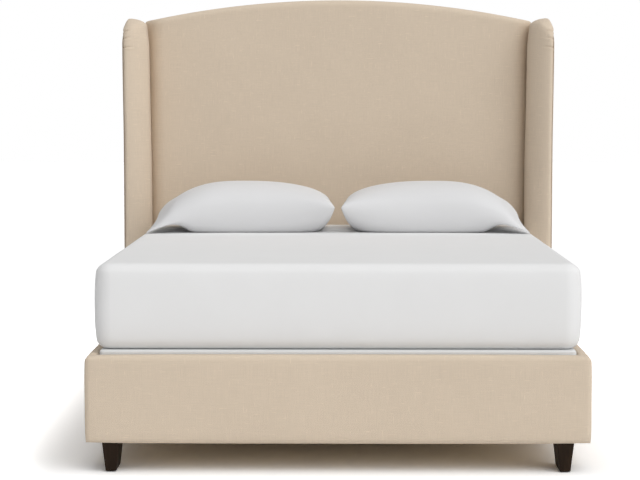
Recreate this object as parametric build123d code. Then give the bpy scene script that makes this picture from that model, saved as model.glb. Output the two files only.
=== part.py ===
from build123d import *
import os
from math import atan2, cos, degrees, hypot, sin, sqrt

os.makedirs("parts", exist_ok=True)

# An upholstered queen-size bed whose platform lifts at the foot end over a
# storage well. Millimetres. X is to the right seen from the foot, Y runs from
# the foot to the head, Z is up. The origin is on the floor under the middle.

quarter_turn = 90

# Rails and footboard
leg_height = 96
rail_height = 276
rail_thickness = 35
rail_core_thickness = 22
rail_lining = 3
rail_top_pad = 10
rail_round = 12
board_bottom_cover = 2
footboard_thickness = 50
footboard_core_thickness = 30
footboard_lining = 4
footboard_end_pad = 14
footboard_round = 14

# Platform that carries the mattress
platform_side_gap = 5
platform_end_margin = 0.5
platform_thickness = 35
platform_stand = 13
platform_foot_gap = 6
platform_head_gap = 14
platform_round = 8
deck_board_thickness = 18
deck_board_inset = 12
deck_board_floor = 3
rest_gap = 0.3

# Mattress and pillows
mattress_width = 1560
mattress_length = 2024
mattress_thickness = 277
mattress_side_margin = 20
mattress_belly = 12
mattress_top_round = 34
mattress_bottom_round = 24
mattress_corner = 70
pillow_depth = 520
pillow_height = 184
pillow_seam_height = 66
pillow_seam_thickness = 8
pillow_end_slope = 120
pillow_side_slope = 110
pillow_shoulder_drop = 26
pillow_shoulder_round = 130
pillow_base_slope = 95
pillow_base_radius = 90
pillow_draw_in = 18
pillow_side_gap = 8
pillow_end_gap = 28
pillow_head_gap = 112

# Headboard
headboard_height = 1600
arch_rise = 87
headboard_pad_thickness = 46
headboard_frame_thickness = 38
headboard_back_thickness = 12
headboard_top_wrap = 9
headboard_round = 26
back_panel_drop = 3
stile_width = 80
bottom_rail_height = 150
mid_rail_height = 80
mid_rail_level = 700
top_rail_depth = 110

# Wings
wing_drop = 85
wing_forward = 160
wing_pad_thickness = 83
wing_corner = 110
wing_outer_roll = 15
wing_front_flat = 2
wing_core_thickness = 22
wing_core_cover = 42
wing_side_panel_thickness = 6
wing_side_panel_margin = 30
welt_radius = 3
welt_chamfer = 1.7
wing_fit = 0.5

# Legs and glides
leg_top_width = 54
leg_top_depth = 150
leg_taper = 10
leg_side_inset = 51
leg_end_inset = 12
glide_radius = 11
glide_thickness = 3
centre_leg_top_radius = 24
centre_leg_foot_radius = 17
centre_leg_flange_size = 76
centre_leg_flange_thickness = 4

# Storage well
bearer_height = 20
bearer_width = 25
bearer_lift = 2
corner_block_width = 78
corner_block_length = 120
floor_thickness = 9
cross_bearer_width = 70
ledger_width = 18
ledger_height = 30
ledger_run = 1125
foot_ledger_width = 28
head_board_thickness = 30
bracket_leg = 60
bracket_height = 150
bracket_thickness = 3
bracket_lift = 38
bolt_head_radius = 7
bolt_head_height = 5
bolt_offset = 45
bolt_reach = 36

# Platform steel frame
tube_size = 25
tube_wall = 2
cross_tube_foot_inset = 60
cross_tube_head_inset = 70
cross_tube_count = 4

# Lift linkage. Pivots are given by their distance in front of the headboard
# face and by their drop under the platform.
rear_pivot_back = 726
rear_pivot_drop = 68
front_pivot_back = 864
front_pivot_drop = 201
carry_pivot_back = 438
carry_pivot_drop = 20
guide_pivot_back = 490
guide_pivot_drop = 102
strut_foot_back = 478
strut_foot_drop = 204
strut_head_back = 301
strut_head_drop = 55
plate_thickness = 4
plate_eye_radius = 18
lever_thickness = 5
lever_eye_radius = 16
lever_bar_width = 24
lever_plate_gap = 3
lever_pass_gap = 3.4
arm_lever_gap = 3
arm_thickness = 5
arm_eye_radius = 17
arm_end_radius = 12
arm_reach = 100
pin_radius = 5
pin_head_radius = 10
pin_head_thickness = 2.4
running_gap = 0.05
side_gap = 0.3
guide_play = 1.5
strut_play = 2

# Gas struts
strut_offset = 18
strut_eye_radius = 12
strut_eye_thickness = 14
stud_radius = 8
stud_head_thickness = 3.7
cylinder_radius = 11
cylinder_wall = 1.5
cylinder_neck_radius = 8
cylinder_start = 15
cylinder_length = 155
cylinder_plug = 10
cylinder_guide = 12
rod_radius = 4
piston_length = 10
piston_start_gap = 3
piston_gap = 0.1

# Heights
underside_z = leg_height
rail_top_z = underside_z + rail_height
deck_top_z = rail_top_z + platform_stand
deck_under_z = deck_top_z - platform_thickness
board_bottom_z = underside_z + board_bottom_cover
bearer_z = underside_z + bearer_lift
floor_z = bearer_z + bearer_height
floor_top_z = floor_z + floor_thickness
ledger_top_z = deck_under_z - rest_gap
mattress_bottom_z = deck_top_z
mattress_top_z = mattress_bottom_z + mattress_thickness
pillow_bottom_z = mattress_top_z
wing_top_z = headboard_height - wing_drop

# Places along the bed
headboard_thickness = headboard_pad_thickness + headboard_frame_thickness + headboard_back_thickness
platform_length = mattress_length + 2 * platform_end_margin
inner_length = platform_foot_gap + platform_length + platform_head_gap
bed_length = footboard_thickness + inner_length + headboard_thickness
foot_y = -bed_length / 2
rail_foot_y = foot_y + footboard_thickness
headboard_y = rail_foot_y + inner_length
frame_y = headboard_y + headboard_pad_thickness
back_panel_y = frame_y + headboard_frame_thickness
back_y = foot_y + bed_length
platform_foot_y = rail_foot_y + platform_foot_gap
platform_head_y = platform_foot_y + platform_length
head_board_y = headboard_y - head_board_thickness

# Places across the bed, on the right side
rail_outer_x = mattress_width / 2 + mattress_side_margin
rail_inner_x = rail_outer_x - rail_thickness
rail_core_x = rail_inner_x + rail_lining
platform_x = rail_inner_x - platform_side_gap
pillow_width = mattress_width / 2 - pillow_side_gap - pillow_end_gap
plate_inner_x = rail_inner_x - plate_thickness
rear_lever_outer_x = plate_inner_x - lever_plate_gap
rear_lever_inner_x = rear_lever_outer_x - lever_thickness
front_lever_outer_x = rear_lever_inner_x - lever_pass_gap
front_lever_inner_x = front_lever_outer_x - lever_thickness
arm_outer_x = front_lever_inner_x - arm_lever_gap
arm_inner_x = arm_outer_x - arm_thickness
tube_inner_x = arm_inner_x - tube_size
strut_x = arm_inner_x - strut_offset
strut_eye_inner_x = strut_x - strut_eye_thickness / 2
strut_eye_outer_x = strut_x + strut_eye_thickness / 2
wing_inner_x = rail_outer_x + wing_fit
wing_pad_x = wing_inner_x + wing_pad_thickness
wing_outer_x = wing_pad_x + wing_side_panel_thickness


def pivot(back, drop):
    """Y and Z of a pivot of the lift linkage."""
    return (headboard_y - back, deck_under_z - drop)


rear_pivot = pivot(rear_pivot_back, rear_pivot_drop)
front_pivot = pivot(front_pivot_back, front_pivot_drop)
carry_pivot = pivot(carry_pivot_back, carry_pivot_drop)
guide_pivot = pivot(guide_pivot_back, guide_pivot_drop)
strut_foot = pivot(strut_foot_back, strut_foot_drop)
strut_head = pivot(strut_head_back, strut_head_drop)


def block(x_span, y_span, z_span):
    """A box between two corners."""
    x0, x1 = x_span
    y0, y1 = y_span
    z0, z1 = z_span
    middle = Pos((x0 + x1) / 2, (y0 + y1) / 2, (z0 + z1) / 2)
    return middle * Box(x1 - x0, y1 - y0, z1 - z0)


def across(outline, x0, x1):
    """An outline in Y and Z, extruded along X."""
    return extrude(Plane.YZ.offset(x0) * outline, x1 - x0)


def along(outline, y0, y1):
    """An outline in X and Z, extruded along Y."""
    return extrude(Plane.XZ.offset(-y1) * outline, y1 - y0)


def left_of(right_part):
    """The mirror image on the left side."""
    return mirror(right_part, about=Plane.YZ)


def pair(right_part):
    """A part with its mirror image, as two solids."""
    return Compound([*right_part.solids(), *left_of(right_part).solids()])


def rod_x(radius, x0, x1, place):
    """A round bar along X at a pivot."""
    y, z = place
    turned = Pos((x0 + x1) / 2, y, z) * Rot(0, quarter_turn, 0)
    return turned * Cylinder(radius, abs(x1 - x0))


# Rails and footboard

def side_rail_core():
    return block((rail_core_x, rail_core_x + rail_core_thickness), (rail_foot_y, headboard_y),
                 (board_bottom_z, rail_top_z - rail_top_pad))


def side_rail_cover():
    body = block((rail_inner_x, rail_outer_x), (rail_foot_y, headboard_y), (underside_z, rail_top_z))
    long_edges = body.edges().filter_by(Axis.Y)
    body = fillet(long_edges.group_by(Axis.Z)[-1], rail_round)
    return body - side_rail_core()


def footboard_core():
    y1 = rail_foot_y - footboard_lining
    reach = rail_outer_x - footboard_end_pad
    return block((-reach, reach), (y1 - footboard_core_thickness, y1),
                 (board_bottom_z, rail_top_z - rail_top_pad))


def footboard_cover():
    body = block((-rail_outer_x, rail_outer_x), (foot_y, rail_foot_y), (underside_z, rail_top_z))
    front = body.faces().sort_by(Axis.Y)[0]
    body = fillet(front.edges(), footboard_round)
    core = footboard_core()
    return body - core


# Headboard

def arch_face(half_width, bottom_z, drop):
    """The headboard outline, with its top lowered by drop."""
    radius = (rail_outer_x ** 2 + arch_rise ** 2) / (2 * arch_rise)
    centre_z = headboard_height - radius
    crown_z = headboard_height - drop
    side_z = centre_z + sqrt((radius - drop) ** 2 - half_width ** 2)
    top = ThreePointArc((-half_width, side_z), (0, crown_z), (half_width, side_z))
    sides = Polyline((half_width, side_z), (half_width, bottom_z), (-half_width, bottom_z),
                     (-half_width, side_z))
    return make_face(top + sides)


def headboard_pad():
    outline = arch_face(wing_inner_x, underside_z, 0)
    body = along(outline, headboard_y, back_panel_y)
    top_face = body.faces().sort_by(Axis.Z)[-1]
    front_edge = top_face.edges().sort_by(Axis.Y)[0]
    body = fillet(front_edge, headboard_round)
    pocket = along(arch_face(wing_inner_x, underside_z, headboard_top_wrap), frame_y, back_panel_y)
    return body - pocket


def headboard_top_rail():
    low_z = headboard_height - arch_rise - top_rail_depth
    return along(arch_face(wing_inner_x, low_z, headboard_top_wrap), frame_y, back_panel_y)


def headboard_stile():
    top_z = headboard_height - arch_rise - top_rail_depth
    return block((wing_inner_x - stile_width, wing_inner_x), (frame_y, back_panel_y), (underside_z, top_z))


def headboard_cross_rail(low_z, height):
    reach = wing_inner_x - stile_width
    return block((-reach, reach), (frame_y, back_panel_y), (low_z, low_z + height))


def headboard_back_panel():
    return along(arch_face(wing_inner_x, underside_z, back_panel_drop), back_panel_y, back_y)


# Wings

def wing_outline(margin, low_z, end_y):
    """The side view of a wing up to end_y, drawn in by margin at the front and the top."""
    front_y = headboard_y - wing_forward + margin
    top_z = wing_top_z - margin
    radius = wing_corner - margin
    corner = CenterArc((front_y + radius, top_z - radius), radius, quarter_turn, quarter_turn)
    edge = Polyline((front_y, top_z - radius), (front_y, low_z), (end_y, low_z), (end_y, top_z),
                    (front_y + radius, top_z))
    return make_face(corner + edge)


def wing_core():
    x0 = wing_pad_x - wing_core_cover
    x1 = x0 + wing_core_thickness
    return across(wing_outline(wing_core_cover, underside_z, back_panel_y), x0, x1)


def wing_pad():
    body = across(wing_outline(0, underside_z, back_y), wing_inner_x, wing_pad_x)
    inner = body.faces().sort_by(Axis.X)[0]
    body = fillet(rolled_edges(inner), wing_pad_thickness - wing_outer_roll - wing_front_flat)
    outer = body.faces().sort_by(Axis.X)[-1]
    body = fillet(rolled_edges(outer), wing_outer_roll)
    return body - wing_core()


def rolled_edges(form):
    """The edges of a wing form that run up its front, round the corner and along its top."""
    kept = []
    for edge in form.edges():
        middle = edge.center()
        if middle.Z > underside_z and middle.Y < back_y:
            kept.append(edge)
    return kept


def wing_side_panel():
    return across(wing_outline(wing_side_panel_margin, underside_z, back_y), wing_pad_x, wing_outer_x)


def wing_welt():
    """The covered cord round the edge of the side panel."""
    margin = wing_side_panel_margin
    outer = wing_outline(margin - 2 * welt_radius, underside_z, back_y)
    inner = wing_outline(margin, underside_z, back_y)
    body = across(outer - inner, wing_pad_x, wing_pad_x + 2 * welt_radius)
    return chamfer(rolled_edges(body), welt_chamfer)


# Legs

def leg(end_y, side):
    """A tapered leg; side is 1 where its deep side runs towards the head, else -1."""
    outer_x = rail_outer_x - leg_side_inset
    x = outer_x - leg_top_width / 2
    y = end_y + side * (leg_end_inset + leg_top_depth / 2)
    height = leg_height - glide_thickness
    tapered = Wedge(leg_top_width, height, leg_top_depth, leg_taper, leg_taper,
                    leg_top_width - leg_taper, leg_top_depth - leg_taper)
    return Pos(x, y, glide_thickness + height / 2) * Rot(-quarter_turn, 0, 0) * tapered


def leg_centres():
    x = rail_outer_x - leg_side_inset - leg_top_width / 2
    reach = leg_end_inset + leg_top_depth / 2
    return [(side * x, y) for side in (-1, 1) for y in (foot_y + reach, back_y - reach)]


def cross_bearer_places():
    """The middle of each cross bearer along Y."""
    third = (head_board_y - rail_foot_y) / 3
    return [rail_foot_y + third, rail_foot_y + 2 * third]


def leg_glides():
    places = leg_centres() + [(0, y) for y in cross_bearer_places()]
    disc = Cylinder(glide_radius, glide_thickness)
    return Compound([(Pos(x, y, glide_thickness / 2) * disc).solid() for x, y in places])


def centre_legs():
    flange_z = bearer_z - centre_leg_flange_thickness
    height = flange_z - glide_thickness
    reach = centre_leg_flange_size / 2
    cone = Cone(centre_leg_foot_radius, centre_leg_top_radius, height)
    solids = []
    for y in cross_bearer_places():
        post = Pos(0, y, glide_thickness + height / 2) * cone
        flange = block((-reach, reach), (y - reach, y + reach), (flange_z, bearer_z))
        solids.append((post + flange).solid())
    return Compound(solids)


# Storage well

def corner_blocks():
    """The blocks in the corners of the well that the legs are screwed to."""
    x = (rail_inner_x - corner_block_width, rail_inner_x)
    foot = block(x, (rail_foot_y, rail_foot_y + corner_block_length), (underside_z, floor_z))
    head = block(x, (head_board_y - corner_block_length, head_board_y), (underside_z, floor_z))
    return pair(Compound([foot.solid(), head.solid()]))


def floor_bearers():
    y = (rail_foot_y + corner_block_length, head_board_y - corner_block_length)
    return pair(block((rail_inner_x - bearer_width, rail_inner_x), y, (bearer_z, floor_z)))


def cross_bearers():
    reach = rail_inner_x - bearer_width
    half = cross_bearer_width / 2
    return Compound([block((-reach, reach), (y - half, y + half), (bearer_z, floor_z)).solid()
                     for y in cross_bearer_places()])


def storage_floor(part_number):
    ends = [rail_foot_y, *cross_bearer_places(), head_board_y]
    return block((-rail_inner_x, rail_inner_x), (ends[part_number], ends[part_number + 1]),
                 (floor_z, floor_top_z))


def head_board():
    return block((-rail_inner_x, rail_inner_x), (head_board_y, headboard_y), (board_bottom_z, ledger_top_z))


def side_ledger():
    return block((rail_inner_x - ledger_width, rail_inner_x), (rail_foot_y, rail_foot_y + ledger_run),
                 (ledger_top_z - ledger_height, ledger_top_z))


def foot_ledger():
    reach = rail_inner_x - ledger_width
    return block((-reach, reach), (rail_foot_y, rail_foot_y + foot_ledger_width),
                 (ledger_top_z - ledger_height, ledger_top_z))


def corner_bracket(wall_y, inward):
    """An angle plate between a side rail and a cross wall; inward is 1 or -1 along Y."""
    z = (floor_top_z + bracket_lift, floor_top_z + bracket_lift + bracket_height)
    y_far = wall_y + inward * bracket_leg
    y_near = wall_y + inward * bracket_thickness
    on_rail = block((rail_inner_x - bracket_thickness, rail_inner_x), sorted((wall_y, y_far)), z)
    on_wall = block((rail_inner_x - bracket_leg, rail_inner_x), sorted((wall_y, y_near)), z)
    return on_rail + on_wall


def corner_brackets():
    at_foot = corner_bracket(rail_foot_y, 1)
    at_head = corner_bracket(head_board_y, -1)
    return pair(Compound([at_foot.solid(), at_head.solid()]))


def bracket_bolts():
    """Hexagon bolt heads on both legs of each corner bracket."""
    middle_z = floor_top_z + bracket_lift + bracket_height / 2
    head = extrude(RegularPolygon(bolt_head_radius, 6), bolt_head_height)
    solids = []
    for wall_y, inward in ((rail_foot_y, 1), (head_board_y, -1)):
        for z in (middle_z - bolt_offset, middle_z + bolt_offset):
            on_wall = Plane(origin=(rail_inner_x - bolt_reach, wall_y + inward * bracket_thickness, z),
                            z_dir=(0, inward, 0))
            on_rail = Plane(origin=(rail_inner_x - bracket_thickness, wall_y + inward * bolt_reach, z),
                            z_dir=(-1, 0, 0))
            solids.append((on_wall * head).solid())
            solids.append((on_rail * head).solid())
    return pair(Compound(solids))


# Platform

def deck_board():
    x = platform_x - deck_board_inset
    z0 = deck_under_z + deck_board_floor
    return block((-x, x), (platform_foot_y + deck_board_inset, platform_head_y - deck_board_inset),
                 (z0, z0 + deck_board_thickness))


def deck_cover():
    """The padded cover of the deck board, open underneath inside its turned-in hem."""
    body = block((-platform_x, platform_x), (platform_foot_y, platform_head_y), (deck_under_z, deck_top_z))
    body = fillet(body.edges().filter_by(Axis.Z), platform_round)
    board = deck_board()
    margin = tube_size + 2 * deck_board_inset
    x = platform_x - margin
    well = block((-x, x), (platform_foot_y + margin, platform_head_y - margin),
                 (deck_under_z, deck_under_z + deck_board_floor))
    return body - board - well


def tube(x_span, y_span, z_span, axis):
    """A square tube that is open at its ends along the axis."""
    outer = block(x_span, y_span, z_span)
    inset = [tube_wall] * 3
    inset["XYZ".index(axis)] = 0
    spans = [(low + step, high - step) for (low, high), step in zip((x_span, y_span, z_span), inset)]
    return outer - block(*spans)


def platform_side_tubes():
    tube_z = (deck_under_z - tube_size, deck_under_z)
    y = (platform_foot_y + cross_tube_foot_inset, platform_head_y - cross_tube_head_inset)
    return pair(tube((tube_inner_x, arm_inner_x), y, tube_z, "Y"))


def platform_cross_tubes():
    tube_z = (deck_under_z - tube_size, deck_under_z)
    first = platform_foot_y + cross_tube_foot_inset
    last = platform_head_y - cross_tube_head_inset - tube_size
    pitch = (last - first) / (cross_tube_count - 1)
    solids = []
    for number in range(cross_tube_count):
        y = first + number * pitch
        solids.append(tube((-tube_inner_x, tube_inner_x), (y, y + tube_size), tube_z, "X").solid())
    return Compound(solids)


# Lift linkage

def eye(place, radius):
    return Pos(*place) * Circle(radius)


def hinge_plate():
    """The plate on the side rail that carries both levers and the strut."""
    corners = [rear_pivot, front_pivot, strut_foot]
    outline = make_hull([edge for place in corners for edge in eye(place, plate_eye_radius).edges()])
    middle = (sum(y for y, z in corners) / 3, sum(z for y, z in corners) / 3)
    plate = across(outline, plate_inner_x, rail_inner_x)
    return plate - rod_x(plate_eye_radius, plate_inner_x, rail_inner_x, middle)


def lever(near, far, near_hole, far_hole, inner_x):
    """A flat lever between two pivots. The levers pass each other side by side."""
    length = hypot(far[0] - near[0], far[1] - near[1])
    turn = degrees(atan2(far[1] - near[1], far[0] - near[0]))
    bar = Pos(*near) * Rot(0, 0, turn) * Pos(length / 2, 0) * Rectangle(length, lever_bar_width)
    outline = bar + eye(near, lever_eye_radius) + eye(far, lever_eye_radius)
    outline = outline - eye(near, near_hole) - eye(far, far_hole)
    return across(outline, inner_x, inner_x + lever_thickness)


def rear_lever():
    hole = pin_radius + running_gap
    return lever(rear_pivot, carry_pivot, hole, hole, rear_lever_inner_x)


def front_lever():
    return lever(front_pivot, guide_pivot, pin_radius + running_gap, pin_radius + guide_play,
                 front_lever_inner_x)


def nut_x(radius, x0, x1, place):
    """A hexagon along X at a pivot."""
    return across(Pos(*place) * RegularPolygon(radius, 6), x0, x1)


def frame_pin(place, inner_x):
    """A bolt from the hinge plate through the lever at inner_x, on a spacer nut, with its head inside."""
    head_x = inner_x - side_gap
    shank = rod_x(pin_radius, head_x, plate_inner_x, place)
    head = nut_x(pin_head_radius, head_x - pin_head_thickness, head_x, place)
    spacer = nut_x(pin_head_radius, inner_x + lever_thickness + side_gap, plate_inner_x, place)
    return shank + head + spacer


def stud(place, base_x):
    """A strut stud, standing inwards from base_x, with a collar and a head."""
    collar_x = strut_eye_outer_x + side_gap
    head_x = strut_eye_inner_x - side_gap
    collar = nut_x(stud_radius, collar_x, base_x, place)
    shank = rod_x(pin_radius, head_x, collar_x, place)
    head = nut_x(stud_radius, head_x - stud_head_thickness, head_x, place)
    return collar + shank + head


def hinge_pins():
    """The pins and the strut stud that are fixed on both hinge plates."""
    solids = [frame_pin(rear_pivot, rear_lever_inner_x), frame_pin(front_pivot, front_lever_inner_x),
              stud(strut_foot, plate_inner_x)]
    return pair(Compound([part.solid() for part in solids]))


def platform_arm():
    """The plate under the platform that both levers and the strut carry."""
    top_z = deck_under_z - arm_end_radius - side_gap
    middle_y = carry_pivot[0]
    ends = [(middle_y - arm_reach, top_z), (strut_head[0] + arm_reach / 2, top_z)]
    edges = []
    for place in (carry_pivot, guide_pivot, strut_head):
        edges += eye(place, arm_eye_radius).edges()
    for place in ends:
        edges += eye(place, arm_end_radius).edges()
    return across(make_hull(edges), arm_inner_x, arm_outer_x)


def platform_pin(place, inner_x):
    """A bolt from the platform arm through the lever at inner_x, on a spacer nut, with its head outside."""
    head_x = inner_x + lever_thickness + side_gap
    shank = rod_x(pin_radius, arm_outer_x, head_x, place)
    head = nut_x(pin_head_radius, head_x, head_x + pin_head_thickness, place)
    spacer = nut_x(pin_head_radius, arm_outer_x, inner_x - side_gap, place)
    return shank + head + spacer


def platform_pins():
    solids = [platform_pin(carry_pivot, rear_lever_inner_x), platform_pin(guide_pivot, front_lever_inner_x),
              stud(strut_head, arm_inner_x)]
    return pair(Compound([part.solid() for part in solids]))


# Gas struts

strut_length = hypot(strut_head[0] - strut_foot[0], strut_head[1] - strut_foot[1])
strut_angle = atan2(strut_head[1] - strut_foot[1], strut_head[0] - strut_foot[0])


def on_strut(part):
    """Puts a part drawn along its own X axis on the line of the strut."""
    y, z = strut_foot
    line = Plane(origin=(strut_x, y, z), x_dir=(0, cos(strut_angle), sin(strut_angle)), z_dir=(1, 0, 0))
    return line * part


def strut_bar(radius, start, end):
    return Pos((start + end) / 2, 0, 0) * Rot(0, quarter_turn, 0) * Cylinder(radius, end - start)


def strut_eye(start, hole):
    ring = Cylinder(strut_eye_radius, strut_eye_thickness) - Cylinder(hole, strut_eye_thickness)
    return Pos(start, 0, 0) * ring


def strut_cylinder():
    end = cylinder_start + cylinder_length
    body = strut_bar(cylinder_radius, cylinder_start, end)
    neck = strut_bar(cylinder_neck_radius, strut_eye_radius - cylinder_wall, cylinder_start)
    bore = strut_bar(cylinder_radius - cylinder_wall, cylinder_start + cylinder_plug, end - cylinder_guide)
    guide = strut_bar(rod_radius + running_gap, end - cylinder_guide, end)
    body = body + neck - bore - guide
    return on_strut(body + strut_eye(0, pin_radius + running_gap))


def strut_rod():
    start = cylinder_start + cylinder_plug + piston_start_gap
    end = strut_length - strut_eye_radius + cylinder_wall
    shaft = strut_bar(rod_radius, start, end)
    piston = strut_bar(cylinder_radius - cylinder_wall - piston_gap, start, start + piston_length)
    return on_strut(shaft + piston + strut_eye(strut_length, pin_radius + strut_play))


# Mattress and pillows

def bulged_profile(width, low_z, high_z):
    """A cross section with bulging sides and rounded corners, on a flat base."""
    half = width / 2
    straight = half - mattress_belly
    middle_z = (low_z + high_z) / 2
    right = ThreePointArc((straight, low_z), (half, middle_z), (straight, high_z))
    left = ThreePointArc((-straight, high_z), (-half, middle_z), (-straight, low_z))
    outline = make_face(right + Line((straight, high_z), (-straight, high_z)) + left
                        + Line((-straight, low_z), (straight, low_z)))
    corners = outline.vertices().group_by(Axis.Y)
    outline = fillet(corners[-1], mattress_top_round)
    return fillet(outline.vertices().group_by(Axis.Y)[0], mattress_bottom_round)


def mattress():
    low_z = mattress_bottom_z + rest_gap
    middle_y = (platform_foot_y + platform_head_y) / 2
    across_bed = bulged_profile(mattress_width, low_z, mattress_top_z)
    along_bed = Pos(middle_y, 0) * bulged_profile(mattress_length, low_z, mattress_top_z)
    y_span = (middle_y - mattress_length / 2, middle_y + mattress_length / 2)
    body = along(across_bed, *y_span) & across(along_bed, -mattress_width / 2, mattress_width / 2)
    plan = Pos(0, middle_y, low_z) * RectangleRounded(mattress_width, mattress_length, mattress_corner)
    return body & extrude(plan, mattress_top_z - low_z)


def pillow_profile(size, slope):
    """A cross section with a crown, rounded shoulders, a seam at each end and a flat base."""
    seam = size / 2
    shoulder = seam - slope
    base = seam - pillow_base_slope
    shoulder_z = pillow_height - pillow_shoulder_drop
    seam_top = pillow_seam_height + pillow_seam_thickness / 2
    seam_low = pillow_seam_height - pillow_seam_thickness / 2
    crown = ThreePointArc((-shoulder, shoulder_z), (0, pillow_height), (shoulder, shoulder_z))
    rest = Polyline((shoulder, shoulder_z), (seam, seam_top), (seam, seam_low), (base, 0), (-base, 0),
                    (-seam, seam_low), (-seam, seam_top), (-shoulder, shoulder_z))
    outline = make_face(crown + rest)
    shoulders = outline.vertices().group_by(Axis.Y)[-1]
    outline = fillet(shoulders, pillow_shoulder_round)
    return fillet(outline.vertices().group_by(Axis.Y)[0], pillow_base_radius)


def pillow():
    """The right pillow: two crowned cross sections that meet, drawn in between the corners."""
    half_width = pillow_width / 2
    half_depth = pillow_depth / 2
    body = along(pillow_profile(pillow_width, pillow_end_slope), -half_depth, half_depth)
    body = body & across(pillow_profile(pillow_depth, pillow_side_slope), -half_width, half_width)
    ends = [ThreePointArc((side * half_width, -half_depth), (side * (half_width - pillow_draw_in), 0),
                          (side * half_width, half_depth)) for side in (1, -1)]
    sides = [ThreePointArc((-half_width, side * half_depth), (0, side * (half_depth - pillow_draw_in)),
                           (half_width, side * half_depth)) for side in (1, -1)]
    plan = make_face(ends[0] + ends[1] + sides[0] + sides[1])
    body = body & extrude(plan, pillow_height)
    y = headboard_y - pillow_head_gap - half_depth
    return Pos(pillow_side_gap + half_width, y, pillow_bottom_z + rest_gap) * body


# Writing the parts

def keep(name, part):
    export_step(part, f"parts/{name}.step")


def keep_sides(name, right_part):
    keep(f"{name}_right", right_part)
    keep(f"{name}_left", left_of(right_part))


keep("footboard_core", footboard_core())
keep("footboard_cover", footboard_cover())
keep_sides("side_rail_core", side_rail_core())
keep_sides("side_rail_cover", side_rail_cover())

keep("headboard_pad", headboard_pad())
keep("headboard_top_rail", headboard_top_rail())
keep("headboard_mid_rail", headboard_cross_rail(mid_rail_level, mid_rail_height))
keep("headboard_bottom_rail", headboard_cross_rail(underside_z, bottom_rail_height))
keep_sides("headboard_stile", headboard_stile())
keep("headboard_back_panel", headboard_back_panel())

keep_sides("wing_pad", wing_pad())
keep_sides("wing_core", wing_core())
keep_sides("wing_side_panel", wing_side_panel())
keep_sides("wing_welt", wing_welt())

keep_sides("front_leg", leg(foot_y, 1))
keep_sides("rear_leg", leg(back_y, -1))
keep("centre_legs", centre_legs())
keep("leg_glides", leg_glides())

keep("corner_blocks", corner_blocks())
keep("floor_bearers", floor_bearers())
keep("cross_bearers", cross_bearers())
for number, place in enumerate(("foot", "middle", "head")):
    keep(f"storage_floor_{place}", storage_floor(number))
keep("head_board", head_board())
keep_sides("side_ledger", side_ledger())
keep("foot_ledger", foot_ledger())
keep("corner_brackets", corner_brackets())
keep("bracket_bolts", bracket_bolts())

keep("deck_board", deck_board())
keep("deck_cover", deck_cover())
keep("platform_side_tubes", platform_side_tubes())
keep("platform_cross_tubes", platform_cross_tubes())
keep_sides("platform_arm", platform_arm())
keep("platform_pins", platform_pins())

keep_sides("hinge_plate", hinge_plate())
keep("hinge_pins", hinge_pins())
keep_sides("rear_lever", rear_lever())
keep_sides("front_lever", front_lever())
keep_sides("strut_cylinder", strut_cylinder())
keep_sides("strut_rod", strut_rod())

keep("mattress", mattress())
keep_sides("pillow", pillow())
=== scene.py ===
from math import cos, exp, pi, radians, sin, sqrt

import bmesh
import bpy
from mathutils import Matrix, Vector, noise


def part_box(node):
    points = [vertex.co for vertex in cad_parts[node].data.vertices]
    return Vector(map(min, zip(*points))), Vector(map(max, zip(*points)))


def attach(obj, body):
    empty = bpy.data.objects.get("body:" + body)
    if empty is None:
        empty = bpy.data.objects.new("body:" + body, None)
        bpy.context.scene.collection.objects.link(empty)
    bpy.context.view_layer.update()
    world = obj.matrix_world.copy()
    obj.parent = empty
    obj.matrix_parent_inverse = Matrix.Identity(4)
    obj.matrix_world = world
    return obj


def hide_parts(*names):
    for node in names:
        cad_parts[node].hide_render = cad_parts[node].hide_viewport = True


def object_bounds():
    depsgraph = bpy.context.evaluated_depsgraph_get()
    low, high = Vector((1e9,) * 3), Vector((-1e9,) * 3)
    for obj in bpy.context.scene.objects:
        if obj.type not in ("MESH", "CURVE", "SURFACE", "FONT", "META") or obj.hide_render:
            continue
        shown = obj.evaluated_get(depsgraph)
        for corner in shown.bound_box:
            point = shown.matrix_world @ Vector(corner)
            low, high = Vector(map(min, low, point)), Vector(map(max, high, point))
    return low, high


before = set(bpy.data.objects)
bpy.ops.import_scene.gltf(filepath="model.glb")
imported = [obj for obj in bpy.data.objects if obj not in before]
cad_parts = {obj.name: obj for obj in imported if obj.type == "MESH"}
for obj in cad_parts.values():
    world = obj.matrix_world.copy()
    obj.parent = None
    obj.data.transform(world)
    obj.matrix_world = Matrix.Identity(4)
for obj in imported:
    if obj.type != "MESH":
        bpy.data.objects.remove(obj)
cad_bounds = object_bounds()

# An upholstered storage bed. Metres: X to the right seen from the foot, Y from
# the foot to the head, Z up, with the origin on the floor under the middle.

mm = 0.001
sides = (("left", -1), ("right", 1))
cut_weld = 1e-6


# Shapes

def block_form(low, high):
    """A box between two corners, as a mesh to be shaped."""
    form = bmesh.new()
    bmesh.ops.create_cube(form, size=1)
    size = Vector(high) - Vector(low)
    middle = (Vector(high) + Vector(low)) / 2
    bmesh.ops.scale(form, vec=size, verts=form.verts)
    bmesh.ops.translate(form, vec=middle, verts=form.verts)
    return form


def rolled(form, wanted, radius, segments):
    """Rounds the edges for which wanted(middle, direction) holds."""
    edges = []
    for edge in form.edges:
        a, b = (vert.co for vert in edge.verts)
        if wanted((a + b) / 2, (b - a).normalized()):
            edges.append(edge)
    bmesh.ops.bevel(form, geom=edges, offset=radius, offset_type="OFFSET", segments=segments,
                    profile=0.5, affect="EDGES", material=-1)
    return form


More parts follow.
